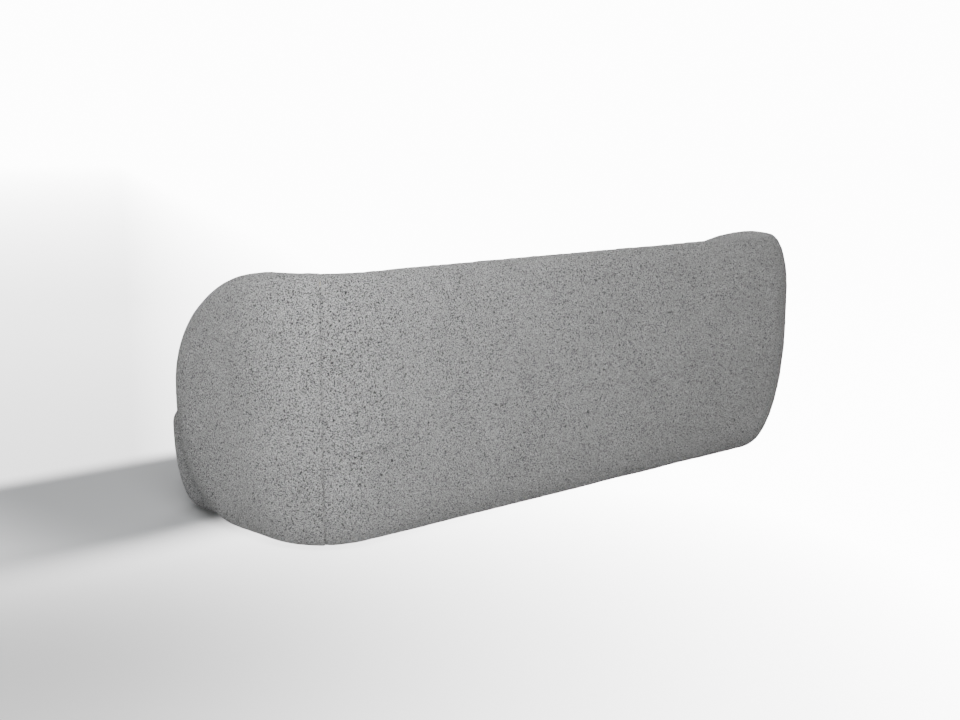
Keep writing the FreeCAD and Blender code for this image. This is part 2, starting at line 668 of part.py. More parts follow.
# ---------------------------------------------------------------------------------------------------------
# Base padding and covers
# ---------------------------------------------------------------------------------------------------------
DECK_LENGTH = f"(2 * {SEAT_SIDE})"
DECK_DEPTH = f"({SEAT_BACK} - {RAIL_FRONT})"
felt = centred_box("felt_blank", DECK_LENGTH, DECK_DEPTH, "felt", RAIL_FRONT, FELT_UNDER)
node(common("felt_pad", felt, seat_room), "spring_felt")
deck = centred_box("deck_blank", DECK_LENGTH, DECK_DEPTH, "deck_foam", RAIL_FRONT, f"{FELT_UNDER} + felt")
node(common("deck_pad", deck, seat_room), "deck_foam")
DECK_SEAM = f"(base_corner - {HALF_DEPTH})"
deck_cloth = centred_box("deck_cloth_blank", DECK_LENGTH, f"{SEAT_BACK} - {DECK_SEAM}", "cover", DECK_SEAM,
                         "base_height - cover")
node(common("deck_cloth_cut", deck_cloth, seat_room), "deck_cloth")

base_outside = base_solid(0)
base_padding = base_solid(size.cover)
deck_edge = seat_side + size.skin_step
deck_tool = Part.makeBox(2 * deck_edge, everywhere, everywhere,
                         Vector(-deck_edge, size.base_corner - back_y, 0))
cover_shape = base_outside.cut(base_padding).cut(arm_recess).cut(deck_tool)
node(feature("base_cover_shape", cover_shape), "base_cover")
padding_tool = Part.makeBox(2 * deck_edge, everywhere, size.base_height, Vector(-deck_edge, rail_front, 0))
base_foam = feature("base_foam_blank", base_padding.cut(arm_recess).cut(padding_tool))
rail_tool = centred_box("rail_tool", FRONT_RAIL, "rail", RAIL_HEIGHT, RAIL_FRONT, "floor_gap")
node(cut("base_foam", base_foam, rail_tool, group("ear_tool", ear_blocks)), "border_foam")

dust = padded_body("dust_sheet", f"2 * ({BASE_END} - base_tuck - dust_margin)",
                   f"overall_depth - base_tuck - {FRAME_IN} + sole - 2 * dust_margin", "dust_cloth",
                   f"base_tuck + dust_margin - {HALF_DEPTH}", "floor_gap - dust_cloth", "dust_corner")
arm_notches = [box(f"arm_notch_{side_name}", CORNER, "overall_depth", "base_height",
                   outwards(side, SEAT_SIDE, CORNER), f"{NOSE_Y} + arm_foot_run - base_gap", 0)
               for side_name, side in SIDES]
node(cut("dust_sheet_bored", dust, screw_bore_group, *arm_notches), "dust_cover")

# ---------------------------------------------------------------------------------------------------------
# Shell frame: rails and formers behind the back, a D-shaped panel and formers in each arm, corner plates
# ---------------------------------------------------------------------------------------------------------
RAIL_Y = f"({HALF_DEPTH} - {FRAME_IN})"
SHELL_FOOT = "(floor_gap + cover + 2 * skin_step)"
bottom_rail = centred_box("bottom_rail_blank", f"2 * {CORNER_X}", "rail", "shell_rail", RAIL_Y, SHELL_FOOT)
node(cut("bottom_rail", bottom_rail, bolt_bore_group, nut_bore_group), "back_bottom_rail")
top_rail_z = "(overall_height - crest_in_drop - shell_rail)"
node(centred_box("top_rail", f"2 * {CORNER_X}", "rail", "shell_rail", RAIL_Y, top_rail_z), "back_top_rail")

formers = []
for i in range(int(size.former_count)):
    blank = box(f"former_blank_{i}", "ply", f"{FRAME_IN} - rail - {FRAME_OUT}", "overall_height",
                f"(2 * {i} / (former_count - 1) - 1) * ({CORNER_X} - ply / 2) - ply / 2",
                f"{RAIL_Y} + rail", 0)
    formers.append(common(f"former_{i}", blank, frame_hollow["back"]))
node(group("formers", formers), "back_formers")

for side_name, side in SIDES:
    hollow_arm = frame_hollow[side_name]
    near = f"({HALF_LENGTH} - {FRAME_IN})"
    blank = box(f"arm_blank_{side_name}", "ply", f"{CORNER_Y} - {NOSE_Y}", "overall_height",
                outwards(side, near, "ply"), NOSE_Y, 0)
    panel = common(f"arm_panel_d_{side_name}", blank, hollow_arm)
    node(cut(f"arm_panel_{side_name}", panel, bolt_bore_group, nut_bore_group), f"arm_panel_{side_name}")
    arm_formers = []
    width = f"({FRAME_IN} - ply - {FRAME_OUT})"
    for place_name, y in (("rear", f"{CORNER_Y} - ply"), ("front", f"{NOSE_Y} + nose_round")):
        blank = box(f"arm_former_blank_{side_name}_{place_name}", width, "ply", "overall_height",
                    outwards(side, f"{near} + ply", width), y, 0)
        arm_formers.append(common(f"arm_former_{side_name}_{place_name}", blank, hollow_arm))
    node(group(f"arm_formers_{side_name}_group", arm_formers), f"arm_formers_{side_name}")

hollow_all = feature("hollow_all", hollow["back"].fuse([hollow["left"], hollow["right"]]).removeSplitter())
PLATE_LEVELS = (("low", "(floor_gap + block_height)"), ("high", f"({top_rail_z} + shell_rail - ply)"))
for side_name, side in SIDES:
    plates = []
    for level, z in PLATE_LEVELS:
        blank = box(f"plate_blank_{side_name}_{level}", CORNER, CORNER, "ply",
                    outwards(side, CORNER_X, CORNER), CORNER_Y, z)
        plates.append(common(f"plate_{side_name}_{level}", blank, hollow_all))
    node(group(f"plates_{side_name}", plates), f"corner_plates_{side_name}")
    (_, low_z), (_, high_z) = PLATE_LEVELS
    # The post stands between the plates, its width along the radius through the middle of the corner
    post = doc.addObject("Part::Box", f"post_blank_{side_name}")
    bind(post, "Length", f"{FRAME_IN} - {FRAME_OUT}")
    bind(post, "Width", "ply")
    bind(post, "Height", f"{high_z} - {low_z} - ply")
    post.Placement.Rotation = Rotation(Vector(0, 0, 1), 45 if side > 0 else 135)
    radial = f"(({CORNER} - {FRAME_IN}) * sqrt(0.5))"
    half_ply = "(ply / 2 * sqrt(0.5))"
    place(post, f"{side} * ({CORNER_X} + {radial}) + {half_ply}",
          f"{CORNER_Y} + {radial} + ({-side}) * {half_ply}", f"{low_z} + ply")
    node(common(f"post_{side_name}", post, hollow_all), f"corner_post_{side_name}")

WEB_STEP = f"((2 * {CORNER_X} - web_width) / (web_count - 1))"
WEB_LOW = "(floor_gap + block_height)"
webs = []
for i in range(int(size.web_count)):
    webs.append(box(f"web_{i}", "web_width", "web_thickness", f"overall_height - crest_in_drop - {WEB_LOW}",
                    f"{i} * {WEB_STEP} - {CORNER_X}", f"{RAIL_Y} - web_thickness", WEB_LOW))
node(group("webs", webs), "back_webbing")

# ---------------------------------------------------------------------------------------------------------
# Shell padding and covers, in three stretches that meet at the middles of the rear corners
# ---------------------------------------------------------------------------------------------------------
def for_both_arms(make):
    """A shape for each stretch of the shell; the left arm's is the right arm's mirror image."""
    made = {part: make(part) for part in ("back", "right")}
    made["left"] = mirrored(made["right"])
    return made


boards = for_both_arms(lambda part: stuffed[part].cut(inner_side).cut(hollow[part]))
outer_foams = for_both_arms(lambda part: padding[part].cut(stuffed[part]).cut(frame_inside))
inner_foams = for_both_arms(lambda part: padding[part].cut(stuffed[part]).common(web_inside))
outer_covers = for_both_arms(lambda part: envelope[part].cut(padding[part]).cut(inner_side))
inner_covers = for_both_arms(lambda part: envelope[part].cut(padding[part]).common(inner_side))
block_tools = {"back": group("back_block_tool", back_blanks), "left": side_blanks[0], "right": side_blanks[1]}
node(group("boards", [feature(f"board_{part}", boards[part]) for part in boards]), "outer_boards")
for part, tool in block_tools.items():
    node(feature(f"outer_foam_{part}", outer_foams[part]), f"outer_foam_{part}")
    node(feature(f"outer_cover_{part}", outer_covers[part]), f"outer_cover_{part}")
    foam_blank = feature(f"inner_foam_blank_{part}", inner_foams[part])
    node(cut(f"inner_foam_{part}", foam_blank, tool), f"inner_foam_{part}")
    cover_blank = feature(f"inner_cover_blank_{part}", inner_covers[part])
    node(cut(f"inner_cover_{part}", cover_blank, tool), f"inner_cover_{part}")


# ---------------------------------------------------------------------------------------------------------
# Loose bench cushion
# ---------------------------------------------------------------------------------------------------------
def cushion_block(name, inset):
    """The cushion's outline set in by inset on every side."""
    body = padded_body(name, f"2 * ({HALF_LENGTH} - low_thickness - cushion_gap - ({inset}))",
                       f"overall_depth - low_thickness - cushion_gap - 2 * ({inset})",
                       f"cushion_thickness - 2 * ({inset})", f"{inset} - {HALF_DEPTH}", f"{SEAT_Z} + {inset}",
                       f"cushion_corner - ({inset})")
    return round_edges(body, f"cushion_edge - ({inset})")


cushion_outside = cushion_block("cushion_outside", "0")
cushion_inside = cushion_block("cushion_inside", "cover")
core = cushion_block("core", "cover + wadding")
node(core, "cushion_core")
node(cut("cushion_wrap", cushion_inside, core), "cushion_wadding")
CUSHION_TOP = f"({SEAT_Z} + cushion_thickness)"
skin = cut("cushion_skin", cushion_outside, cushion_inside)
ROOM = "(2 * overall_depth)"
top_zone = centred_box("top_zone", "overall_length", ROOM, "overall_height", f"-{HALF_DEPTH} * 2",
                       f"{CUSHION_TOP} - cushion_seam")
low_zone = centred_box("low_zone", "overall_length", ROOM, "overall_height", f"-{HALF_DEPTH} * 2",
                       f"{SEAT_Z} + cushion_seam - overall_height")
node(common("top_panel", skin, top_zone), "cushion_top_panel")
node(common("bottom_panel", skin, low_zone), "cushion_bottom_panel")
CUSHION_BACK = f"({HALF_DEPTH} - low_thickness - cushion_gap)"
ZIP_Z = f"({SEAT_Z} + cushion_thickness / 2 - zip_width / 2)"
zip_chain = centred_box("zip_chain", "zip_length", "cover", "zip_width", f"{CUSHION_BACK} - cover", ZIP_Z)
node(cut("border", skin, top_zone, low_zone, zip_chain), "cushion_border")
node(zip_chain, "zip_chain")
SLIDER_X = "(zip_length / 2 - slider_length)"
slider_body = box("slider_body", "slider_length", "slider_thickness", "slider_height", SLIDER_X,
                  f"{CUSHION_BACK} + slider_gap", f"{ZIP_Z} + zip_width / 2 - slider_height / 2")
pull = box("slider_pull", "pull_length", "pull_thickness", "pull_width",
           f"{SLIDER_X} + slider_length / 2 - pull_length", f"{CUSHION_BACK} + slider_gap + slider_thickness",
           f"{ZIP_Z} + zip_width / 2 - pull_width / 2")
node(fuse("slider", [slider_body, pull]), "zip_slider")

# ---------------------------------------------------------------------------------------------------------
# Checks and export
# ---------------------------------------------------------------------------------------------------------
doc.recompute()
for thing in doc.Objects:
    if {"Invalid", "Error"} & set(thing.State):
        raise RuntimeError(f"{thing.Name} failed: {thing.State}")
for thing in nodes:
    if thing.Shape.isNull() or not thing.Shape.isValid() or not thing.Shape.Solids:
        raise RuntimeError(f"{thing.Label} has no valid solid")
os.makedirs("parts", exist_ok=True)
for thing in nodes:
    thing.Shape.exportStep(f"parts/{thing.Label}.step")
    print(f"{thing.Label:24s} {len(thing.Shape.Solids):3d} solids {thing.Shape.Volume / 1e6:10.4f} litres")
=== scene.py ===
"""Looks of the upholstered daybed: bouclé covers, the loose cushion, the zip, and every CAD piece's material.

Metres, in the CAD model's frame: +Z up, +X along the length, the front faces -Y.  Left and right are as seen
from the front.  The sizes below repeat the CAD model's own, and everything else is worked out from them.
"""
import json
import math

import bpy
import numpy as np
from mathutils import Matrix, Vector


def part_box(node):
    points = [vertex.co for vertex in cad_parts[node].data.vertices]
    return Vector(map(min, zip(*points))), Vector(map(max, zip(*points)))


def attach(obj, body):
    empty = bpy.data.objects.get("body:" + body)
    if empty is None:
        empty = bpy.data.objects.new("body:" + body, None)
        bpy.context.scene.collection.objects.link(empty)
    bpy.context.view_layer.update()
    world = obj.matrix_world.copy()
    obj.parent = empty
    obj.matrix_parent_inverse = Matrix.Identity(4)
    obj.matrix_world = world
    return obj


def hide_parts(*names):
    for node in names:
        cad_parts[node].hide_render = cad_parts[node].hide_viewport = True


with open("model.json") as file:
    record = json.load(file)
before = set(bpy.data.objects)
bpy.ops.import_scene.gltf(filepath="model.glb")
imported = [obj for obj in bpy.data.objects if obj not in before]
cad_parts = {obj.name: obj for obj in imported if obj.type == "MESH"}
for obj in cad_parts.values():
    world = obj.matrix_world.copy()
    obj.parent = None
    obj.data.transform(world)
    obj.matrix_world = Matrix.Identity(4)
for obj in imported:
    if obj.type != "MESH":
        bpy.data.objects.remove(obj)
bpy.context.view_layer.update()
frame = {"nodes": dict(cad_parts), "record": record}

# ---------------------------------------------------------------------------------------------------------
# Sizes shared with the CAD model
# ---------------------------------------------------------------------------------------------------------
LENGTH = 2.165
DEPTH = 0.860
HEIGHT = 0.730
FLOOR_GAP = 0.015
INNER_CORNER = 0.038
TOP_THICKNESS = 0.205
LOW_THICKNESS = 0.245
TUCK_IN = 0.120
TUCK_RISE = 0.445
CREST_OUT_RUN = 0.060
CREST_OUT_DROP = 0.195
CREST_FLAT = 0.020
CREST_IN_DROP = 0.110
CREST_SEAM = 0.105
NOSE_HEIGHT = 0.310
NOSE_SETBACK = 0.188
NOSE_ROUND = 0.165
ARM_TOP_RUN = 0.458
ARM_FOOT_RUN = 0.213
BASE_HEIGHT = 0.300
BASE_INSET = 0.080
BASE_TUCK = 0.064
BASE_BAND = 0.005
BASE_CORNER = 0.180
BASE_EDGE = 0.045
BASE_GAP = 0.005
COVER = 0.003
CUSHION_THICKNESS = 0.140
CUSHION_GAP = 0.008
CUSHION_REST = 0.0005
CUSHION_CORNER = 0.060
CUSHION_EDGE = 0.035
CUSHION_SEAM = 0.020
ZIP_WIDTH = 0.006

HALF = LENGTH / 2
BACK = DEPTH / 2
CORNER_RADIUS = INNER_CORNER + LOW_THICKNESS
CORNER = np.array([HALF - CORNER_RADIUS, BACK - CORNER_RADIUS])
NOSE = NOSE_SETBACK - BACK
SEAT_SIDE = HALF - LOW_THICKNESS - BASE_GAP
ARM_MIDDLE = TOP_THICKNESS / 2

GRID = 0.005  # spacing of the fabric's mesh
BEND_STEPS = 56  # mesh stations round the arm's nose and round the base's front corner
BASE_SIDE_ROWS = 40  # mesh stations along the base's side, from the arm to the front corner
SWELL = 0.0025  # how far the fabric stands proud of the CAD cover
UNDULATION = 0.0012  # height of the slow waves in the padding
UNDULATION_WIDTH = 0.16
LUMP = 0.0004  # height of the fabric's small lumps
LUMP_WIDTH = 0.014
SEAM_DEPTH = 0.0047
SEAM_WIDTH = 0.004
SEAM_TURN = 38  # degrees round the rear corner, from the back, where the outer covers meet
INNER_SEAM_TURN = 45  # the same for the inner covers
PUCKER = 0.0014  # height of the puckers beside a seam
PUCKER_WIDTH = 0.018
HEM = 0.012  # fabric turned in at a seam
TOE_ROUND = 0.02  # radius under the shell's inner foot
BASE_TURN_IN = 0.035  # how far the base's fabric goes on under its foot
CLOTH_FRAMES = 20
NOISE_CELLS = 32  # cells along each side of the noise lattice, before it repeats

# Stage, light and camera
STAGE_HALF = 40
BACKDROP_RADIUS = 1.5 * STAGE_HALF
BACKDROP_GLOW = 13.0  # shows as near white
WORLD_STRENGTH = 0.29
SHADOW_DARKNESS = 0.985  # share of the floor's glow that the drawn shadow takes away
# These shape the floor's painted light: nil at END_SPOT, dim round FRONT_SPOT, bright beyond the line.
END_SPOT = (2.05, 0.55, 0.0)  # on the floor beside the right end
FRONT_SPOT = (1.0, -1.0, 0.0)  # on the floor in front of the right end
LINE_START = (3.044, 3.2045, 0.0)  # on the floor under the camera's first place; it stays there
LINE_ACROSS = (-0.893, 0.486, 0.0)  # direction across the line that starts there
LIGHTS = {  # place, target, size and power
    "key": ((2.4, 2.4, 2.55), (0.6, 0.3, 0.4), 1.6, 131),
    "fill": ((-2.4, -3.0, 2.2), (-0.2, 0.0, 0.4), 2.2, 75),
}
CAMERA_PLACE = (3.044, 3.2045, 1.1157)
CAMERA_TURN = 137.397  # degrees
CAMERA_TILT = 9.602  # degrees below level
CAMERA_LENS = 53.40


# ---------------------------------------------------------------------------------------------------------
# Mesh helpers
# ---------------------------------------------------------------------------------------------------------
def value_noise(points, feature, seed):
    """Smooth noise from -1 to 1 whose lumps are about feature across."""
    lattice = np.random.default_rng(seed).uniform(-1, 1, (NOISE_CELLS,) * 3)
    scaled = np.asarray(points) / feature
    cell = np.floor(scaled).astype(int)
    share = scaled - cell
    share = share * share * (3 - 2 * share)
    total = 0
    for corner in np.ndindex(2, 2, 2):
        weight = np.prod(np.where(np.array(corner), share, 1 - share), axis=-1)
        index = (cell + corner) % NOISE_CELLS
        total = total + weight * lattice[index[..., 0], index[..., 1], index[..., 2]]
    return total


def new_mesh(name, vertices, faces, smooth=True):
    mesh = bpy.data.meshes.new(name)
    mesh.from_pydata([tuple(v) for v in vertices], [], faces)
    mesh.update()
    if smooth:
        mesh.shade_smooth()
    piece = bpy.data.objects.new(name, mesh)
    bpy.context.scene.collection.objects.link(piece)
    return piece


def grid_faces(rows, columns, closed=False):
    """Quads over a grid of vertices; closed joins the last column to the first."""
    faces = []
    for row in range(rows - 1):
        for column in range(columns if closed else columns - 1):
            after = (column + 1) % columns
            faces.append((row * columns + column, (row + 1) * columns + column,
                          (row + 1) * columns + after, row * columns + after))
    return faces


def grid_normals(grid):
    """Unit normals of a grid of points, by rows and columns."""
    along = np.gradient(grid, axis=0)
    across = np.gradient(grid, axis=1)
    normal = np.cross(along, across)
    return normal / np.maximum(np.linalg.norm(normal, axis=-1, keepdims=True), 1e-12)


def quarter(start, corner, end, count=40):
    """A quarter ellipse from start to end, tangent to the two lines that meet at corner."""
    angle = np.linspace(0, math.pi / 2, count)[:, None]
    start, corner, end = (np.array(p) for p in (start, corner, end))
    return corner + (start - corner) * (1 - np.sin(angle)) + (end - corner) * (1 - np.cos(angle))


def resample(points, spacing):
    """The polyline's points at even distances."""
    steps = np.linalg.norm(np.diff(points, axis=0), axis=1)
    distance = np.concatenate([[0], np.cumsum(steps)])
    count = max(int(round(distance[-1] / spacing)), 2)
    even = np.linspace(0, distance[-1], count + 1)
    return np.stack([np.interp(even, distance, points[:, i]) for i in range(points.shape[1])], axis=1)


# ---------------------------------------------------------------------------------------------------------
# Materials
# ---------------------------------------------------------------------------------------------------------
class Material:
    """A node material with its Principled shader and short ways to add nodes."""

    def __init__(self, name, roughness, **sockets):
        self.material = bpy.data.materials.new(name)
        self.material.use_nodes = True
        self.tree = self.material.node_tree
        self.shader = self.tree.nodes["Principled BSDF"]
        self.shader.inputs["Roughness"].default_value = roughness
        for socket, value in sockets.items():
            self.shader.inputs[socket.replace("_", " ")].default_value = value
        self.place = self.tree.nodes.new("ShaderNodeTexCoord").outputs["Object"]

    def link(self, output, socket):
        self.tree.links.new(output, socket)

    def node(self, kind, inputs=(), **settings):
        made = self.tree.nodes.new(kind)
        for setting, value in settings.items():
            setattr(made, setting, value)
        for socket, value in dict(inputs).items():
            if isinstance(value, bpy.types.NodeSocket):
                self.link(value, made.inputs[socket])
            else:
                made.inputs[socket].default_value = value
        return made

    def noise(self, scale, detail=2.0, place=None):
        return self.node("ShaderNodeTexNoise", {"Vector": place or self.place, "Scale": scale,
                                                "Detail": detail}).outputs["Fac"]

    def math(self, operation, first, second=0.0):
        return self.node("ShaderNodeMath", {0: first, 1: second}, operation=operation).outputs[0]

    def ramp(self, factor, low, high, from_value=0.0, to_value=1.0):
        """A colour that goes from low to high as factor goes from from_value to to_value."""
        made = self.node("ShaderNodeValToRGB", {"Fac": factor})
        made.color_ramp.elements[0].position = from_value
        made.color_ramp.elements[1].position = to_value
        made.color_ramp.elements[0].color = (*low, 1)
        made.color_ramp.elements[1].color = (*high, 1)
        return made.outputs["Color"]

    def bump(self, height, distance, strength=1.0):
        made = self.node("ShaderNodeBump", {"Height": height, "Distance": distance, "Strength": strength})
        self.link(made.outputs["Normal"], self.shader.inputs["Normal"])

    def colour(self, output):
        self.link(output, self.shader.inputs["Base Color"])

    def vary_roughness(self, factor, low, high):
        made = self.node("ShaderNodeMapRange", {"Value": factor, "To Min": low, "To Max": high})
        self.link(made.outputs["Result"], self.shader.inputs["Roughness"])


def grey(value, tint=(1.0, 1.0, 1.0)):
    return tuple(value * t for t in tint)


def boucle():
    """Looped yarn: curls a few millimetres across, painted light on top and painted shade between them."""
    wander_by = 0.006
    curl_share, yarn_share, fibre_share = 0.35, 0.65, 0.1
    drift_share = 0.05
    made = Material("boucle", 0.95, Sheen_Weight=0.2, Sheen_Roughness=0.6, Specular_IOR_Level=0.2)
    wander = made.node("ShaderNodeTexNoise", {"Vector": made.place, "Scale": 120.0, "Detail": 1.0})
    shift = made.node("ShaderNodeVectorMath", {0: wander.outputs["Color"], 1: (wander_by,) * 3},
                      operation="MULTIPLY")
    place = made.node("ShaderNodeVectorMath", {0: made.place, 1: shift.outputs[0]},
                      operation="ADD").outputs[0]
    curls = made.node("ShaderNodeTexVoronoi", {"Vector": place, "Scale": 290.0})
    curl = made.math("SUBTRACT", 1.0, curls.outputs["Distance"])
    yarn = made.noise(500.0, 1.5, place)
    fibre = made.noise(1400.0, 2.0)
    height = made.math("ADD", made.math("MULTIPLY", curl, curl_share),
                       made.math("MULTIPLY", yarn, yarn_share))
    relief = made.math("ADD", height, made.math("MULTIPLY", fibre, fibre_share))
    made.bump(relief, distance=0.005, strength=0.8)
    drift = made.math("MULTIPLY", made.math("SUBTRACT", made.noise(5.0, 3.0), 0.5), drift_share)
    # Painted shade between the curls and painted highlight on their tops; drift is the yarn's own tone.
    made.colour(made.ramp(made.math("ADD", height, drift), grey(0.03), grey(0.70), 0.375, 0.655))
    return made.material


def cloth(name, tone, thread, tint=(1, 1, 1)):
    """Plain woven or non-woven lining cloth; thread is how finely it is woven."""
    weave_share, mottle_share = 0.5, 0.6
    made = Material(name, 0.9, Specular_IOR_Level=0.25)
    waves = [made.node("ShaderNodeTexWave", {"Vector": made.place, "Scale": thread, "Distortion": 0.6},
                       bands_direction=axis).outputs["Fac"] for axis in "XY"]
    weave = made.math("MULTIPLY", *waves)
    mottled = made.math("ADD", made.math("MULTIPLY", weave, weave_share),
                        made.math("MULTIPLY", made.noise(40.0, 4.0), mottle_share))
    made.colour(made.ramp(mottled, grey(tone * 0.7, tint), grey(tone * 1.3, tint), 0.15, 0.8))
    made.bump(weave, distance=0.0006, strength=0.7)
    return made.material


def foam():
    """Open-celled yellowish foam."""
    made = Material("foam", 0.95)
    cells = made.node("ShaderNodeTexVoronoi", {"Vector": made.place, "Scale": 700.0}).outputs["Distance"]
    made.colour(made.ramp(made.math("ADD", cells, made.noise(9.0)),
                          (0.62, 0.56, 0.38), (0.82, 0.78, 0.60), 0.4, 1.2))
    made.bump(cells, distance=0.0008, strength=0.6)
    return made.material


def wadding():
    """White tufted fibre."""
    made = Material("wadding", 1.0, Sheen_Weight=0.3)
    tufts = made.noise(60.0, 8.0)
    made.colour(made.ramp(tufts, grey(0.74), grey(0.90), 0.3, 0.7))
    made.bump(tufts, distance=0.003, strength=0.5)
    return made.material


def wood(name, dark, light, stretch, ring):
    """Planed timber, plywood or board; stretch sets how fine its figure is along X, Y and Z."""
    band_share, pore_share = 0.7, 0.4
    made = Material(name, 0.62)
    grain = made.node("ShaderNodeMapping", {"Vector": made.place, "Scale": stretch}).outputs["Vector"]
    bands = made.node("ShaderNodeTexWave", {"Vector": grain, "Scale": ring, "Distortion": 5.0, "Detail": 3.0,
                                            "Detail Scale": 1.4}).outputs["Fac"]
    pores = made.noise(320.0, 3.0, grain)
    mixed = made.math("ADD", made.math("MULTIPLY", bands, band_share),
                      made.math("MULTIPLY", pores, pore_share))
    made.colour(made.ramp(mixed, dark, light, 0.1, 0.95))
    made.bump(pores, distance=0.0004, strength=0.4)
    made.vary_roughness(pores, 0.5, 0.75)
    return made.material


def metal(name, tone, roughness):
    """Bare or plated metal with faint wear."""
    made = Material(name, roughness, Metallic=1.0)
    wear = made.noise(260.0, 5.0)
    made.colour(made.ramp(wear, grey(tone * 0.8), grey(tone * 1.1), 0.3, 0.7))
    made.vary_roughness(wear, roughness - 0.1, roughness + 0.15)
    made.bump(wear, distance=0.0001, strength=0.3)
    return made.material


def plastic(name, tone, roughness):
    """Moulded plastic with a fine spark-eroded grain."""
    made = Material(name, roughness)
    grain = made.noise(1800.0, 2.0)
    mottled = made.math("ADD", made.noise(30.0, 4.0), grain)
    made.colour(made.ramp(mottled, grey(tone * 0.8), grey(tone * 1.25), 0.7, 1.3))
    made.bump(grain, distance=0.0002, strength=0.5)
    return made.material


FINISHES = {
    "boucle": boucle(),
    "foam": foam(),
    "wadding": wadding(),
    "felt": cloth("felt", tone=0.30, thread=60.0, tint=(1.0, 0.97, 0.92)),
    "lining_cloth": cloth("lining_cloth", tone=0.11, thread=420.0),
    "webbing": cloth("webbing", tone=0.50, thread=260.0, tint=(1.0, 0.95, 0.85)),
    "timber": wood("timber", dark=(0.47, 0.30, 0.15), light=(0.72, 0.53, 0.33),
                   stretch=(3.0, 26.0, 26.0), ring=2.2),
    "plywood": wood("plywood", dark=(0.50, 0.36, 0.20), light=(0.76, 0.60, 0.40),
                    stretch=(20.0, 3.0, 8.0), ring=1.6),
    "hardboard": wood("hardboard", dark=(0.20, 0.12, 0.06), light=(0.33, 0.21, 0.12),
                      stretch=(60.0, 60.0, 60.0), ring=3.0),
    "spring_steel": metal("spring_steel", tone=0.18, roughness=0.38),
    "zinc_steel": metal("zinc_steel", tone=0.62, roughness=0.30),
    "glide": plastic("glide", tone=0.025, roughness=0.45),
    "zip_nylon": plastic("zip_nylon", tone=0.16, roughness=0.40),
    "zip_metal": metal("zip_metal", tone=0.24, roughness=0.34),
}


def finish_cad_nodes():
    """Gives each CAD node the material of its slot in the record."""
    for entry in frame["record"]["subparts"]:
        thing = frame["nodes"][entry["node"]]
        thing.data.materials.clear()
        thing.data.materials.append(FINISHES[entry["material_slot"]])


def dress(piece, slot, body, *replaced):
    """Gives a piece its material and its body, and hides the CAD nodes it stands for."""
    piece.data.materials.clear()
    piece.data.materials.append(FINISHES[slot])
    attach(piece, body)
    if replaced:
        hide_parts(*replaced)
    return piece


# ---------------------------------------------------------------------------------------------------------
# The shell's fabric
# ---------------------------------------------------------------------------------------------------------
def shell_section():
    """The section's two runs as (depth, height): outer from toe to crest seam, inner from seam to toe."""
    belt = FLOOR_GAP + TUCK_RISE
    shoulder_out = HEIGHT - CREST_OUT_DROP
    shoulder_in = HEIGHT - CREST_IN_DROP
    crest_in = CREST_OUT_RUN + CREST_FLAT
    heel = FLOOR_GAP + TOE_ROUND
    inner_crest = quarter((crest_in, HEIGHT), (TOP_THICKNESS, HEIGHT), (TOP_THICKNESS, shoulder_in))
    before_seam = inner_crest[:, 0] <= CREST_SEAM
    seam = np.array([CREST_SEAM, np.interp(CREST_SEAM, inner_crest[:, 0], inner_crest[:, 1])])
    outer = np.concatenate([
        quarter((TUCK_IN, FLOOR_GAP), (0, FLOOR_GAP), (0, belt)),
        quarter((0, shoulder_out), (0, HEIGHT), (CREST_OUT_RUN, HEIGHT)),
        inner_crest[before_seam], [seam]])
    inner = np.concatenate([
        [seam], inner_crest[~before_seam],
        quarter((LOW_THICKNESS, BASE_HEIGHT), (LOW_THICKNESS, FLOOR_GAP), (LOW_THICKNESS, heel), 4),
        quarter((LOW_THICKNESS, heel), (LOW_THICKNESS, FLOOR_GAP), (LOW_THICKNESS - TOE_ROUND, FLOOR_GAP), 8),
        [[TUCK_IN, FLOOR_GAP]]])
    return resample(outer, GRID), resample(inner, GRID)


def corner_stations(first, last):
    """Plan stations (x, y, turn) round the right rear corner, between two turns in degrees from the back."""
    count = int(CORNER_RADIUS * math.radians(abs(last - first)) / GRID)
    return [(CORNER[0] + CORNER_RADIUS * math.sin(math.radians(t)),
             CORNER[1] + CORNER_RADIUS * math.cos(math.radians(t)), math.radians(t))
            for t in np.linspace(first, last, count)]


def rear_path(seam_turn):
    """Plan stations along the back, from the seam in the right corner to the one in the left corner."""
    corner = corner_stations(seam_turn, 0)
    xs = np.linspace(CORNER[0], -CORNER[0], int(2 * CORNER[0] / GRID))[1:-1]
    straight = [(x, BACK, 0.0) for x in xs]
    return np.array(corner + straight + [(-x, y, -turn) for x, y, turn in corner[::-1]])


def arm_path(seam_turn):
    """Plan stations of the right arm, from the tip of its nose to the seam in its corner."""
    nose_end = NOSE + NOSE_ROUND
    ys = np.linspace(CORNER[1], nose_end, int((CORNER[1] - nose_end) / GRID))[1:]
    bends = np.linspace(90, 0, BEND_STEPS)[1:]
    ys = np.concatenate([ys, NOSE + NOSE_ROUND * (1 - np.cos(np.radians(bends)))])
    stations = corner_stations(seam_turn, 90) + [(HALF, y, math.pi / 2) for y in ys]
    return np.array(stations[::-1])


def reach(y, run):
    """From 0 at the arm's nose to 1 where the run ends, along a quarter ellipse."""
    share = np.clip((NOSE + run - y) / run, 0, 1)
    return np.sqrt(1 - share * share)


def arm_rise(y):
    """Heights of the arm's top and of its foot at a place along it."""
    top = NOSE_HEIGHT + (HEIGHT - NOSE_HEIGHT) * reach(y, ARM_TOP_RUN)
    bottom = NOSE_HEIGHT - (NOSE_HEIGHT - FLOOR_GAP) * reach(y, ARM_FOOT_RUN)
    return top, bottom


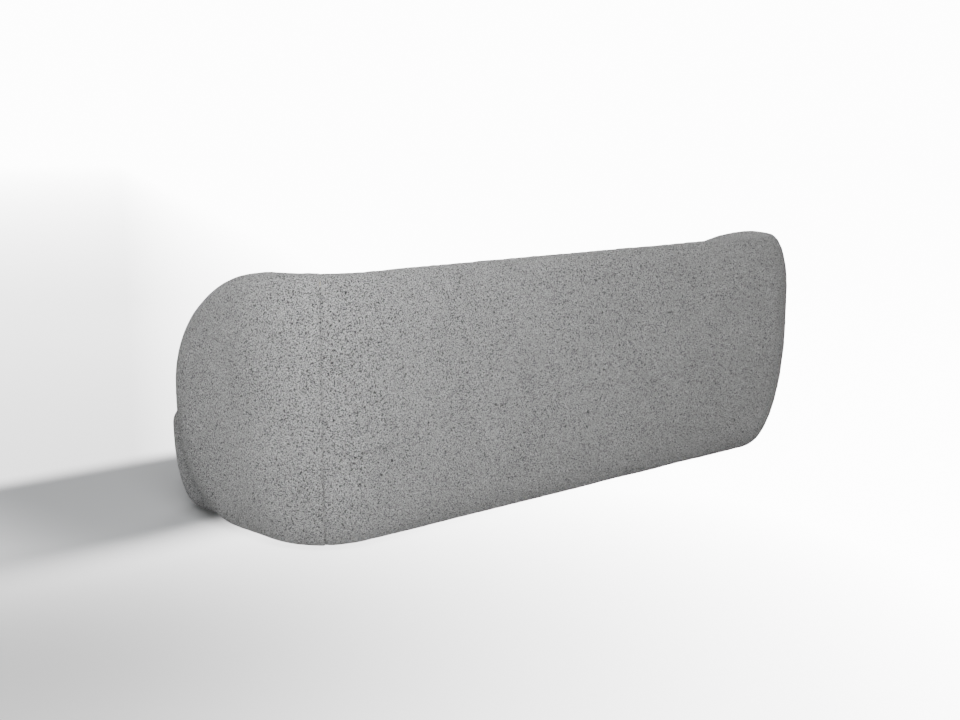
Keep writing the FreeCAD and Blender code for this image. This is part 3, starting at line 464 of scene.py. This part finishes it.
def sweep(stations, run, is_arm):
    """Points of a section's run at every station, by rows of stations."""
    x, y, turn = stations.T[:, :, None]
    depth, height = run.T[:, None, :]
    if is_arm:
        top, bottom = arm_rise(y)
        depth = ARM_MIDDLE + (depth - ARM_MIDDLE) * reach(y, NOSE_ROUND)
        height = bottom + (height - FLOOR_GAP) * (top - bottom) / (HEIGHT - FLOOR_GAP)
    else:
        depth = depth + 0 * x
        height = height + 0 * x
    return np.stack([x - np.sin(turn) * depth, y - np.cos(turn) * depth, height], axis=-1)


def seam_valley(distance):
    """How far the fabric is pulled in at a distance from a seam."""
    return -SEAM_DEPTH * np.exp(-(distance / SEAM_WIDTH) ** 2)


def upholster(grid, seam_rows, seam_columns, seed):
    """Raises a grid of fabric off the CAD cover: soft undulation, small lumps, and valleys at its seams.

    seam_rows says whether the first and the last row are seams, and seam_columns the same for columns.
    """
    normal = grid_normals(grid)
    normal[np.linalg.norm(normal, axis=-1) < 0.5] = (0, -1, 0)
    rows = np.concatenate([[0], np.cumsum(np.linalg.norm(np.diff(grid, axis=0), axis=-1).max(axis=1))])
    columns = np.concatenate([[0], np.cumsum(np.linalg.norm(np.diff(grid, axis=1), axis=-1).max(axis=0))])
    offset = (SWELL + UNDULATION * value_noise(grid, UNDULATION_WIDTH, seed)
              + LUMP * value_noise(grid, LUMP_WIDTH, seed + 1))
    near = np.full(grid.shape[:2], 1.0)
    for here, is_first, is_last in ((rows[:, None], *seam_rows), (columns[None, :], *seam_columns)):
        for distance, wanted in ((here, is_first), (here.max() - here, is_last)):
            if wanted:
                near = np.minimum(near, distance + 0 * near)
                offset = offset + seam_valley(distance)
    offset = offset + PUCKER * value_noise(grid, PUCKER_WIDTH, seed + 2) * np.exp(-(near / PUCKER_WIDTH) ** 2)
    return grid + normal * offset[..., None], normal


def hemmed(grid, normal):
    """Adds a turned-in edge all round a grid."""
    inwards = grid - normal * HEM
    rows = np.concatenate([inwards[:1], grid, inwards[-1:]])
    sides = np.concatenate([inwards[:1], inwards, inwards[-1:]])
    return np.concatenate([sides[:, :1], rows, sides[:, -1:]], axis=1)


def mirror_piece(piece, name):
    """A copy on the other side of the middle."""
    mesh = piece.data.copy()
    mesh.transform(Matrix.Scale(-1, 4, (1, 0, 0)))
    mesh.flip_normals()
    other = bpy.data.objects.new(name, mesh)
    bpy.context.scene.collection.objects.link(other)
    return other


def fabric_panel(name, grid, seam_rows, seam_columns, seed):
    """A panel of upholstery over a grid, with its edges turned in."""
    turned = hemmed(*upholster(grid, seam_rows, seam_columns, seed))
    return new_mesh(name, turned.reshape(-1, 3), grid_faces(*turned.shape[:2]))


def make_shell():
    """Outer and inner covers, each a back panel and two arm panels."""
    outer_run, inner_run = shell_section()
    sides = (("outer", outer_run, SEAM_TURN, (False, True), 11),
             ("inner", inner_run, INNER_SEAM_TURN, (True, False), 29))
    for side, run, seam_turn, seam_columns, seed in sides:
        back = fabric_panel(f"{side}_back_fabric", sweep(rear_path(seam_turn), run, False),
                            (True, True), seam_columns, seed)
        dress(back, "boucle", "frame", f"{side}_cover_back")
        right = fabric_panel(f"{side}_arm_fabric_right", sweep(arm_path(seam_turn), run, True),
                             (False, True), seam_columns, seed + 5)
        left = mirror_piece(right, f"{side}_arm_fabric_left")
        dress(right, "boucle", "frame", f"{side}_cover_right")
        dress(left, "boucle", "frame", f"{side}_cover_left")


# ---------------------------------------------------------------------------------------------------------
# The base's fabric and the deck
# ---------------------------------------------------------------------------------------------------------
def arm_front(depth, height, outer_run, inner_run):
    """How far forward the right arm's surface is at a depth inwards of its outer face and a height.

    Halves the stretch between a point in front of the arm and one inside it until it meets the surface.
    """
    front = np.full(np.shape(depth), NOSE)
    back = np.full(np.shape(depth), CORNER[1])
    for _ in range(24):
        y = (front + back) / 2
        top, bottom = arm_rise(y)
        level = FLOOR_GAP + (height - bottom) * (HEIGHT - FLOOR_GAP) / np.maximum(top - bottom, 0.001)
        across = ARM_MIDDLE + (depth - ARM_MIDDLE) / np.maximum(reach(y, NOSE_ROUND), 0.001)
        outer_depth = np.interp(level, outer_run[:, 1], outer_run[:, 0])
        inner_depth = np.interp(level, inner_run[::-1, 1], inner_run[::-1, 0])
        inside = (across > outer_depth) & (across < inner_depth) & (level > FLOOR_GAP) & (level < HEIGHT)
        back = np.where(inside, y, back)
        front = np.where(inside, front, y)
    return back


def base_section():
    """(depth, height) from the turned-in foot up the front and over the edge to the deck seam."""
    band_top = BASE_HEIGHT - BASE_EDGE
    points = np.concatenate([
        [[BASE_TUCK + BASE_TURN_IN, FLOOR_GAP]],
        quarter((BASE_TUCK, FLOOR_GAP), (0, FLOOR_GAP), (0, band_top - BASE_BAND)),
        quarter((0, band_top), (0, BASE_HEIGHT), (BASE_EDGE, BASE_HEIGHT)),
        [[BASE_CORNER, BASE_HEIGHT]]])
    return resample(points, GRID)


def base_grid():
    """Rows run from the left arm round the front to the right arm; columns run up the section."""
    outer_run, inner_run = shell_section()
    depth, height = base_section().T
    end = HALF - BASE_INSET
    centre_x = end - BASE_CORNER
    centre_y = BASE_CORNER - BACK
    side_depth = np.minimum(depth, end - SEAT_SIDE - 0.001)
    stop = arm_front(BASE_INSET + side_depth, height, outer_run, inner_run) - BASE_GAP
    side_run = np.maximum(stop, centre_y) - centre_y
    rows = []
    for share in np.linspace(1, 0, BASE_SIDE_ROWS)[:-1]:
        rows.append(np.stack([end - side_depth, centre_y + side_run * share, height], axis=-1))
    radius = BASE_CORNER - depth
    for turn in np.radians(np.linspace(90, 0, BEND_STEPS)):
        rows.append(np.stack([centre_x + radius * math.sin(turn), centre_y - radius * math.cos(turn), height],
                             axis=-1))
    for x in np.linspace(centre_x, 0, int(centre_x / GRID))[1:]:
        rows.append(np.stack([x + 0 * depth, depth - BACK, height], axis=-1))
    right = np.array(rows)
    left = right[-2::-1] * (-1, 1, 1)
    return np.concatenate([right, left])[::-1]


def make_base():
    piece = fabric_panel("base_fabric", base_grid(), (False, False), (False, True), 41)
    dress(piece, "boucle", "frame", "base_cover")


def make_deck():
    """The plain cloth under the cushion, pulled down a little between its edges."""
    sag, sag_run = 0.0025, 0.03
    wrinkle, wrinkle_width = 0.0004, 0.05
    low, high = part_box("deck_cloth")
    xs = np.linspace(low.x, high.x, 140)
    ys = np.linspace(low.y, high.y, 44)
    x, y = np.meshgrid(xs, ys, indexing="ij")
    edge = np.minimum(np.minimum(x - low.x, high.x - x), np.minimum(y - low.y, high.y - y))
    drop = sag * (1 - np.exp(-np.maximum(edge, 0) / sag_run))
    grid = np.stack([x, y, high.z - drop], axis=-1)
    grid[..., 2] += wrinkle * value_noise(grid, wrinkle_width, 3)
    piece = new_mesh("deck_cloth_laid", grid.reshape(-1, 3), grid_faces(*grid.shape[:2]))
    thickness = piece.modifiers.new("thickness", "SOLIDIFY")
    thickness.thickness = COVER / 2
    thickness.offset = -1
    dress(piece, "lining_cloth", "frame", "deck_cloth")


# ---------------------------------------------------------------------------------------------------------
# The loose cushion
# ---------------------------------------------------------------------------------------------------------
def rounded_slab(half_x, low_y, high_y, low_z, high_z, corner, edge):
    """A closed slab with round plan corners and rounded edges, as rings from the middle of one face round."""
    turns = np.radians(np.linspace(0, 90, 9))
    centre_y = (low_y + high_y) / 2
    half_y = (high_y - low_y) / 2
    plan = []
    for quadrant, (sx, sy) in enumerate(((1, 1), (-1, 1), (-1, -1), (1, -1))):
        swept = turns if quadrant % 2 == 0 else turns[::-1]
        plan += [(sx, sy, math.cos(t), math.sin(t)) for t in swept]
    sx, sy, cx, cy = np.array(plan[::-1]).T
    face = [(edge + (half_y - edge) * share, low_z) for share in (0.98, 0.6, 0.3)]
    rim = [(edge * (1 - math.sin(t)), low_z + edge * (1 - math.cos(t))) for t in turns]
    profile = face + rim
    profile += [(inset, high_z + low_z - z) for inset, z in profile[::-1]]
    rings = []
    for inset, z in profile:
        radius = max(corner - inset, 0.002)
        x = sx * (half_x - inset - radius + radius * cx)
        y = centre_y + sy * (half_y - inset - radius + radius * cy)
        x = np.where(half_x - inset - radius > 0, x, 0)
        rings.append(np.stack([x, y, z + 0 * x], axis=-1))
    count = len(plan)
    last = (len(rings) - 1) * count
    faces = grid_faces(len(rings), count, closed=True)
    faces += [tuple(range(count)), tuple(range(last + count - 1, last - 1, -1))]
    return np.concatenate(rings), faces


def apply_modifier(piece, kind, **settings):
    made = piece.modifiers.new(kind.lower(), kind)
    for setting, value in settings.items():
        setattr(made, setting, value)
    bpy.context.view_layer.objects.active = piece
    bpy.ops.object.modifier_apply(modifier=made.name)


def coordinates(mesh):
    points = np.empty(len(mesh.vertices) * 3)
    mesh.vertices.foreach_get("co", points)
    return points.reshape(-1, 3)


def set_coordinates(mesh, points):
    mesh.vertices.foreach_set("co", np.ascontiguousarray(points).ravel())
    mesh.update()


def swell_with_cloth(piece, pressure, cap):
    """Lets cloth pressure round a remeshed piece, with no point moved more than cap."""
    start = coordinates(piece.data)
    cloth_modifier = piece.modifiers.new("cloth", "CLOTH")
    values = {"quality": 5, "mass": 0.3, "use_pressure": True, "uniform_pressure_force": pressure,
              "tension_stiffness": 12, "compression_stiffness": 12, "bending_stiffness": 4}
    for setting, value in values.items():
        setattr(cloth_modifier.settings, setting, value)
    cloth_modifier.settings.effector_weights.gravity = 0
    cloth_modifier.point_cache.frame_start = 1
    cloth_modifier.point_cache.frame_end = CLOTH_FRAMES
    scene = bpy.context.scene
    for step in range(1, CLOTH_FRAMES + 1):
        scene.frame_set(step)
    graph = bpy.context.evaluated_depsgraph_get()
    moved = coordinates(piece.evaluated_get(graph).data) - start
    piece.modifiers.remove(cloth_modifier)
    scene.frame_set(1)
    length = np.linalg.norm(moved, axis=1, keepdims=True)
    moved *= np.minimum(1, cap / np.maximum(length, 1e-9))
    set_coordinates(piece.data, start + moved)


def make_cushion():
    """A slab rounded by cloth pressure, then its border seams and the fabric's lumps."""
    slack = 0.005
    crown_room = 0.014
    crown = 0.004
    border_seam_width = 0.0045
    low_z = BASE_HEIGHT + CUSHION_REST
    high_z = low_z + CUSHION_THICKNESS
    half_x = HALF - LOW_THICKNESS - CUSHION_GAP
    back_y = BACK - LOW_THICKNESS - CUSHION_GAP
    vertices, faces = rounded_slab(half_x - slack, -BACK + slack, back_y - slack, low_z, high_z - crown_room,
                                   CUSHION_CORNER, CUSHION_EDGE * 0.6)
    piece = new_mesh("cushion_fabric", vertices, faces)
    apply_modifier(piece, "REMESH", mode="VOXEL", voxel_size=0.009,
                   use_smooth_shade=True)
    swell_with_cloth(piece, pressure=4.0, cap=0.026)
    apply_modifier(piece, "SUBSURF", levels=1, render_levels=1)
    points = coordinates(piece.data)
    normals = np.array([v.normal for v in piece.data.vertices])
    points[:, :2] = np.clip(points[:, :2], (-half_x, -BACK), (half_x, back_y))
    points[:, 2] = np.clip(points[:, 2], low_z, high_z + crown)
    side = np.clip(1 - np.abs(normals[:, 2]), 0, 1)[:, None]
    for seam in (low_z + CUSHION_SEAM, high_z - CUSHION_SEAM):
        valley = SEAM_DEPTH * np.exp(-((points[:, 2:] - seam) / border_seam_width) ** 2) * side
        points = points - normals * valley
    lumps = 0.0005 * value_noise(points, 0.014, 61) + 0.0012 * value_noise(points, 0.09, 62)
    above_deck = normals[:, 2] > -0.5
    points = points + normals * (lumps * above_deck)[:, None]
    set_coordinates(piece.data, points)
    dress(piece, "boucle", "cushion", "cushion_top_panel", "cushion_bottom_panel", "cushion_border",
          "cushion_wadding", "cushion_core")


# ---------------------------------------------------------------------------------------------------------
# Zip
# ---------------------------------------------------------------------------------------------------------
class Boxes:
    """Vertices and faces gathered from straight boxes."""
    SIDES = ((0, 1, 3, 2), (4, 6, 7, 5), (0, 4, 5, 1), (2, 3, 7, 6), (0, 2, 6, 4), (1, 5, 7, 3))

    def __init__(self, vertices=(), faces=()):
        self.vertices = list(vertices)
        self.faces = list(faces)

    def add(self, low, high):
        base = len(self.vertices)
        self.vertices += [(x, y, z) for x in (low[0], high[0]) for y in (low[1], high[1])
                          for z in (low[2], high[2])]
        self.faces += [tuple(base + i for i in side) for side in self.SIDES]


def make_zip():
    """Single teeth that reach in from either side by turns, on a flat strip with two raised edges."""
    pitch = 0.0022
    tooth_half = pitch * 0.42
    tooth_depth = 0.0012
    raised_edge = 0.0012
    reach_in = ZIP_WIDTH * 0.36
    low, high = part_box("zip_chain")
    middle = (low.z + high.z) / 2
    boxes = Boxes()
    for index in range(int((high.x - low.x) / pitch)):
        x = low.x + (index + 0.5) * pitch
        hand = 1 if index % 2 else -1
        level = middle + hand * reach_in / 2
        boxes.add((x - tooth_half, high.y - tooth_depth, level - reach_in),
                  (x + tooth_half, high.y + 0.0001, level + reach_in))
    for hand in (-1, 1):
        edge = middle + hand * ZIP_WIDTH / 2
        boxes.add((low.x, low.y, min(edge, edge - hand * raised_edge)),
                  (high.x, high.y - 0.0013, max(edge, edge - hand * raised_edge)))
    boxes.add(low, (high.x, high.y - 0.0014, high.z))
    teeth = new_mesh("zip_teeth", boxes.vertices, boxes.faces, smooth=False)
    dress(teeth, "zip_nylon", "cushion", "zip_chain")


def make_slider():
    """A waisted body with a bridge, and a pull tab with a square hole."""
    body_length, body_height = 0.014, 0.0018
    waist, flare = 0.0032, 0.0013
    low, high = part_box("zip_slider")
    inner_y = low.y
    middle = (low.z + high.z) / 2
    body_x = high.x - body_length
    outline = [(body_x + body_length * t, waist + flare * (2 * abs(t - 0.5)) ** 1.5)
               for t in np.linspace(0, 1, 9)]
    ring = outline + [(x, -half) for x, half in outline[::-1]]
    count = len(ring)
    body = [(x, inner_y, middle + z) for x, z in ring]
    body += [(x, inner_y + body_height, middle + z * 0.92) for x, z in ring]
    caps = [tuple(range(count)), tuple(range(2 * count - 1, count - 1, -1))]
    boxes = Boxes(body, grid_faces(2, count, closed=True) + caps)
    boxes.add((body_x + 0.003, inner_y + body_height, middle - 0.0008),
              (body_x + 0.011, inner_y + 0.0030, middle + 0.0008))
    tab_end = body_x + 0.007
    tab_tip = tab_end - 0.018
    bars = ((tab_tip, tab_end, 0.0018, 0.003), (tab_tip, tab_end, -0.003, -0.0018),
            (tab_tip, tab_tip + 0.007, -0.0018, 0.0018), (tab_end - 0.003, tab_end, -0.0018, 0.0018))
    for x0, x1, z0, z1 in bars:
        boxes.add((x0, inner_y + 0.0031, middle + z0), (x1, inner_y + 0.0043, middle + z1))
    piece = new_mesh("zip_slider_detail", boxes.vertices, boxes.faces, smooth=False)
    bevel = piece.modifiers.new("bevel", "BEVEL")
    bevel.width = 0.0002
    bevel.segments = 2
    dress(piece, "zip_metal", "zip_slider_body", "zip_slider")


# ---------------------------------------------------------------------------------------------------------
# Stage, light and camera
# ---------------------------------------------------------------------------------------------------------
def smooth_step(made, value, zero_at, one_at):
    """0 to 1, eased at both ends, as value goes from zero_at to one_at."""
    return made.node("ShaderNodeMapRange", {"Value": value, "From Min": zero_at, "From Max": one_at},
                     interpolation_type="SMOOTHSTEP").outputs["Result"]


def shadow_share(made):
    """1 in the soft shadow drawn on the floor in front of the daybed's right end, 0 away from it."""
    x, y, _ = made.node("ShaderNodeSeparateXYZ", {"Vector": made.place}).outputs
    near = smooth_step(made, y, 0.08, -0.22)
    far = smooth_step(made, y, -1.05, -0.85)
    start = smooth_step(made, x, -0.2, 0.5)
    end = smooth_step(made, x, 2.4, 1.2)
    return made.math("MULTIPLY", made.math("MULTIPLY", near, far), made.math("MULTIPLY", start, end))


def glow_material(name, strength):
    """Adds light of its own to whatever is behind the sheet; strength makes the socket from the material."""
    made = Material(name, 1.0)
    glow = made.node("ShaderNodeEmission", {"Strength": strength(made)})
    clear = made.node("ShaderNodeBsdfTransparent", {"Color": (1.0, 1.0, 1.0, 1.0)})
    both = made.node("ShaderNodeAddShader", {0: glow.outputs[0], 1: clear.outputs[0]})
    output = made.tree.nodes["Material Output"]
    made.link(both.outputs[0], output.inputs["Surface"])
    return made.material


def floor_glow(made):
    """Painted light and shade on the floor: the least of three glows, taken away inside the drawn shadow.

    One grows with the distance from a spot beside the right end, so the floor is painted darker near it.
    One grows slowly with the distance from a spot in front of it, and fast beyond a line on the floor.
    The last is the backdrop's own glow.
    """
    apart = made.node("ShaderNodeVectorMath", {0: made.place, 1: END_SPOT}, operation="DISTANCE")
    beside = made.math("MULTIPLY", made.math("POWER", apart.outputs["Value"], 2.2), 2.0)
    ahead = made.node("ShaderNodeVectorMath", {0: made.place, 1: FRONT_SPOT}, operation="DISTANCE")
    from_line = made.node("ShaderNodeVectorMath", {0: made.place, 1: LINE_START}, operation="SUBTRACT")
    beyond = made.node("ShaderNodeVectorMath", {0: from_line.outputs[0], 1: LINE_ACROSS},
                       operation="DOT_PRODUCT")
    front = made.math("ADD", made.math("MULTIPLY", ahead.outputs["Value"], 0.35), 1.8)
    front = made.math("ADD", front,
                      made.math("MULTIPLY", made.math("MAXIMUM", beyond.outputs["Value"], 0.0), 6.0))
    lit = made.math("SUBTRACT", 1.0, made.math("MULTIPLY", shadow_share(made), SHADOW_DARKNESS))
    least = made.math("MINIMUM", made.math("MINIMUM", beside, front), BACKDROP_GLOW)
    return made.math("MULTIPLY", least, lit)


def camera_only(piece):
    """Leaves a piece to the camera alone, so that it lights nothing and casts no shadow."""
    for ray in ("diffuse", "glossy", "transmission", "shadow"):
        setattr(piece, f"visible_{ray}", False)


def square_sheet(name, height):
    corners = ((-1, -1), (1, -1), (1, 1), (-1, 1))
    return new_mesh(name, [(x * STAGE_HALF, y * STAGE_HALF, height) for x, y in corners], [(0, 1, 2, 3)])


def make_stage():
    """A pale floor with a painted shadow in its colour, a sheet of glow on it that is painted light and
    shade, and a bright backdrop that lights nothing.
    """
    floor = square_sheet("floor", 0)
    made = Material("pale_floor", 0.9, Specular_IOR_Level=0.1)
    # Painted shadow: the floor's colour turns a darker, faintly blue grey inside the drawn shadow.
    made.colour(made.ramp(shadow_share(made), grey(0.80), grey(0.55, (0.98, 1.0, 1.02))))
    floor.data.materials.append(made.material)
    # Painted light and shade: a glowing sheet only the camera sees, dimmer near a spot beside the right end.
    sheet = square_sheet("floor_glow", 0.0005)
    sheet.data.materials.append(glow_material("floor_glow", floor_glow))
    camera_only(sheet)
    turns = np.radians(np.linspace(0, 360, 65)[:-1])
    ring = [(BACKDROP_RADIUS * math.cos(t), BACKDROP_RADIUS * math.sin(t)) for t in turns]
    wall = new_mesh("backdrop", [(x, y, -1) for x, y in ring] + [(x, y, STAGE_HALF) for x, y in ring],
                    grid_faces(2, len(ring), closed=True))
    wall.data.materials.append(glow_material("backdrop", lambda made: BACKDROP_GLOW))
    camera_only(wall)
    world = bpy.data.worlds.new("studio")
    world.use_nodes = True
    background = world.node_tree.nodes["Background"]
    background.inputs["Color"].default_value = (1.0, 1.0, 1.0, 1)
    background.inputs["Strength"].default_value = WORLD_STRENGTH
    bpy.context.scene.world = world


def area_light(name, place, target, size, power):
    """A round soft light at a place, turned to its target."""
    light = bpy.data.lights.new(name, "AREA")
    light.shape = "DISK"
    light.size = size
    light.energy = power
    lamp = bpy.data.objects.new(name, light)
    lamp.location = place
    lamp.rotation_euler = (Vector(target) - Vector(place)).to_track_quat("-Z", "Y").to_euler()
    bpy.context.scene.collection.objects.link(lamp)


def make_camera():
    """Stands behind the right end, a little above the crest, and looks slightly down."""
    turn = math.radians(CAMERA_TURN)
    tilt = math.radians(CAMERA_TILT)
    back = Vector((math.sin(turn) * math.cos(tilt), -math.cos(turn) * math.cos(tilt), math.sin(tilt)))
    right = Vector((math.cos(turn), math.sin(turn), 0))
    up = back.cross(right)
    camera_data = bpy.data.cameras.new("camera")
    camera_data.sensor_width = 36
    camera_data.lens = CAMERA_LENS
    camera = bpy.data.objects.new("camera", camera_data)
    camera.matrix_world = Matrix((right, up, back)).transposed().to_4x4()
    camera.location = CAMERA_PLACE
    bpy.context.scene.collection.objects.link(camera)
    bpy.context.scene.camera = camera


finish_cad_nodes()
make_shell()
make_base()
make_deck()
make_cushion()
make_zip()
make_slider()
make_stage()
for light_name, light_values in LIGHTS.items():
    area_light(light_name, *light_values)
make_camera()
